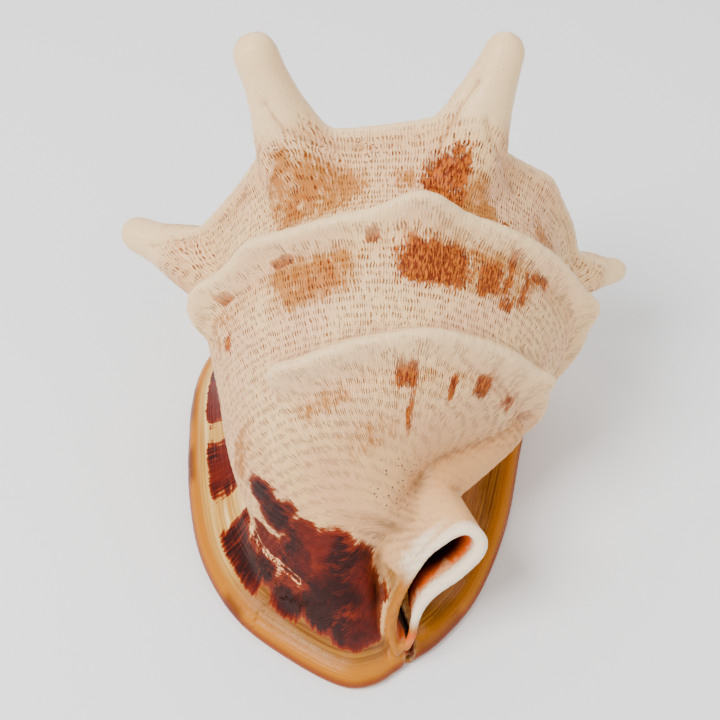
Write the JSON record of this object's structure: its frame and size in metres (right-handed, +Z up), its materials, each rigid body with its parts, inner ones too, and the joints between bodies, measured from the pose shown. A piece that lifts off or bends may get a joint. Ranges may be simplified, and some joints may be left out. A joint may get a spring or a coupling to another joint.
{
  "type": "horned helmet seashell",
  "caption": "Large heavy sea snail shell with blunt shoulder horns, knobbed spiral ridges, a flat oval lip plate and an upturned siphon spout, lying on its flat underside.",
  "frame": {"origin": "middle of the flat underside that the shell lies on, under the centre of its bounding box", "axes": "+Z up from the resting face, +Y towards the spire, +X towards the inner lip, right of the slit seen from above"},
  "size_m": [0.2048, 0.1886, 0.1645],
  "materials": {
    "shell": "glossy aragonite, cream to ivory with rust and dark brown stains and an orange lip"
  },
  "bodies": {
    "root": {"shell": "shell"}
  },
  "joints": []
}
